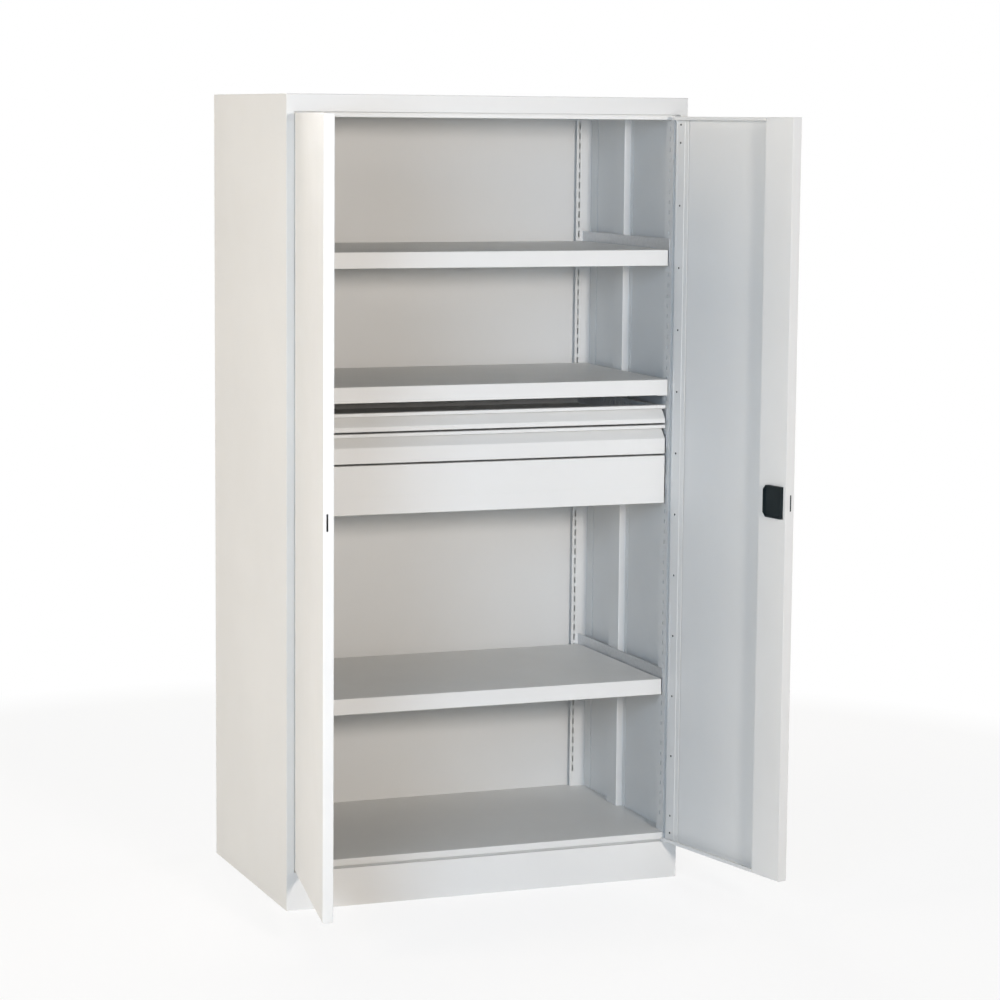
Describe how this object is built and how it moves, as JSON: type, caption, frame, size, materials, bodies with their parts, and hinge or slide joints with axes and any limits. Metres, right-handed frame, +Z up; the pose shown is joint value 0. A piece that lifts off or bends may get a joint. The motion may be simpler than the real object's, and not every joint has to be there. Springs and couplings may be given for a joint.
{
  "type": "heavy-duty tool cabinet",
  "caption": "Tall sheet-steel cabinet with hinged double doors, a latch lock, pull-out shelves, a fixed shelf and drawers on telescopic runners.",
  "frame": {"origin": "on the floor, under the middle of the carcass's footprint", "axes": "+X to the right of someone who stands before the doors, +Y to the back, +Z up"},
  "size_m": [1.133, 1.0685, 1.9],
  "materials": {
    "grey_paint": "light grey powder coat, satin",
    "zinc_steel": "zinc-plated sheet",
    "bright_steel": "bright drawn steel",
    "black_plastic": "fine-grained black plastic",
    "lock_chrome": "nickel-plated"
  },
  "bodies": {
    "carcass": {"side_panel_left": "grey_paint", "side_panel_right": "grey_paint", "back_panel": "grey_paint", "top_panel": "grey_paint", "top_rail": "grey_paint", "plinth_front": "grey_paint", "floor_panel": "grey_paint", "floor_beam": "grey_paint", "front_post_left": "grey_paint", "front_post_right": "grey_paint", "mid_post_left": "grey_paint", "mid_post_right": "grey_paint", "rear_post_left": "grey_paint", "rear_post_right": "grey_paint", "hinge_leaf_left": "zinc_steel", "hinge_leaf_right": "zinc_steel", "hinge_pin_left": "bright_steel", "hinge_pin_right": "bright_steel", "fixed_shelf": "grey_paint", "fixed_shelf_brackets": "grey_paint", "upper_shelf_runners": "zinc_steel", "drawer_1_runners": "zinc_steel", "drawer_2_runners": "zinc_steel", "drawer_3_runners": "zinc_steel", "lower_shelf_runners": "zinc_steel"},
    "left_door": {"left_door_skin": "grey_paint", "left_door_lock_stile": "grey_paint", "left_door_hinge_leaf": "zinc_steel"},
    "right_door": {"right_door_skin": "grey_paint", "right_door_lock_stile": "grey_paint", "right_door_hinge_leaf": "zinc_steel", "grip_shell": "black_plastic", "lock_barrel": "lock_chrome"},
    "lock_plug": {"lock_plug": "lock_chrome"},
    "latch_bolt": {"latch_bolt": "bright_steel"},
    "upper_shelf": {"upper_shelf": "grey_paint", "upper_shelf_slides": "zinc_steel"},
    "upper_shelf_mid": {"upper_shelf_mid_slides": "zinc_steel"},
    "drawer_1": {"drawer_1_tray": "grey_paint", "drawer_1_front": "grey_paint", "drawer_1_slides": "zinc_steel"},
    "drawer_1_mid": {"drawer_1_mid_slides": "zinc_steel"},
    "drawer_2": {"drawer_2_tray": "grey_paint", "drawer_2_front": "grey_paint", "drawer_2_slides": "zinc_steel"},
    "drawer_2_mid": {"drawer_2_mid_slides": "zinc_steel"},
    "drawer_3": {"drawer_3_tray": "grey_paint", "drawer_3_front": "grey_paint", "drawer_3_slides": "zinc_steel"},
    "drawer_3_mid": {"drawer_3_mid_slides": "zinc_steel"},
    "lower_shelf": {"lower_shelf": "grey_paint", "lower_shelf_slides": "zinc_steel"},
    "lower_shelf_mid": {"lower_shelf_mid_slides": "zinc_steel"}
  },
  "joints": [
    {"name": "left_door_hinge", "type": "hinge", "parent": "carcass", "child": "left_door", "pos_m": [-0.4765, -0.2975, 0], "axis": [0, 0, -1], "range_deg": [-100, 12]},
    {"name": "right_door_hinge", "type": "hinge", "parent": "carcass", "child": "right_door", "pos_m": [0.4765, -0.2975, 0], "axis": [0, 0, 1], "range_deg": [-101, 11]},
    {"name": "lock_plug_turn", "type": "hinge", "parent": "right_door", "child": "lock_plug", "pos_m": [0.56549, -0.74219, 0.98], "axis": [0.9816, 0.1908, 0], "range_deg": [0, 90]},
    {"name": "latch_slide", "type": "slide", "parent": "right_door", "child": "latch_bolt", "axis": [0.1908, -0.9816, 0], "range_m": [0, 0.0084]},
    {"name": "upper_shelf_slide", "type": "slide", "parent": "carcass", "child": "upper_shelf", "axis": [0, -1, 0], "range_m": [0, 0.4]},
    {"name": "upper_shelf_mid_slide", "type": "slide", "parent": "carcass", "child": "upper_shelf_mid", "axis": [0, -1, 0], "range_m": [0, 0.2]},
    {"name": "drawer_1_slide", "type": "slide", "parent": "carcass", "child": "drawer_1", "axis": [0, -1, 0], "range_m": [0, 0.4]},
    {"name": "drawer_1_mid_slide", "type": "slide", "parent": "carcass", "child": "drawer_1_mid", "axis": [0, -1, 0], "range_m": [0, 0.2]},
    {"name": "drawer_2_slide", "type": "slide", "parent": "carcass", "child": "drawer_2", "axis": [0, -1, 0], "range_m": [0, 0.4]},
    {"name": "drawer_2_mid_slide", "type": "slide", "parent": "carcass", "child": "drawer_2_mid", "axis": [0, -1, 0], "range_m": [0, 0.2]},
    {"name": "drawer_3_slide", "type": "slide", "parent": "carcass", "child": "drawer_3", "axis": [0, -1, 0], "range_m": [0, 0.4]},
    {"name": "drawer_3_mid_slide", "type": "slide", "parent": "carcass", "child": "drawer_3_mid", "axis": [0, -1, 0], "range_m": [0, 0.2]},
    {"name": "lower_shelf_slide", "type": "slide", "parent": "carcass", "child": "lower_shelf", "axis": [0, -1, 0], "range_m": [0, 0.4]},
    {"name": "lower_shelf_mid_slide", "type": "slide", "parent": "carcass", "child": "lower_shelf_mid", "axis": [0, -1, 0], "range_m": [0, 0.2]}
  ],
  "couplings": [
    {"joint": "lock_plug_turn", "follows": "latch_slide", "rad_per_m": 187},
    {"joint": "upper_shelf_mid_slide", "follows": "upper_shelf_slide", "ratio": 0.5},
    {"joint": "drawer_1_mid_slide", "follows": "drawer_1_slide", "ratio": 0.5},
    {"joint": "drawer_2_mid_slide", "follows": "drawer_2_slide", "ratio": 0.5},
    {"joint": "drawer_3_mid_slide", "follows": "drawer_3_slide", "ratio": 0.5},
    {"joint": "lower_shelf_mid_slide", "follows": "lower_shelf_slide", "ratio": 0.5}
  ]
}
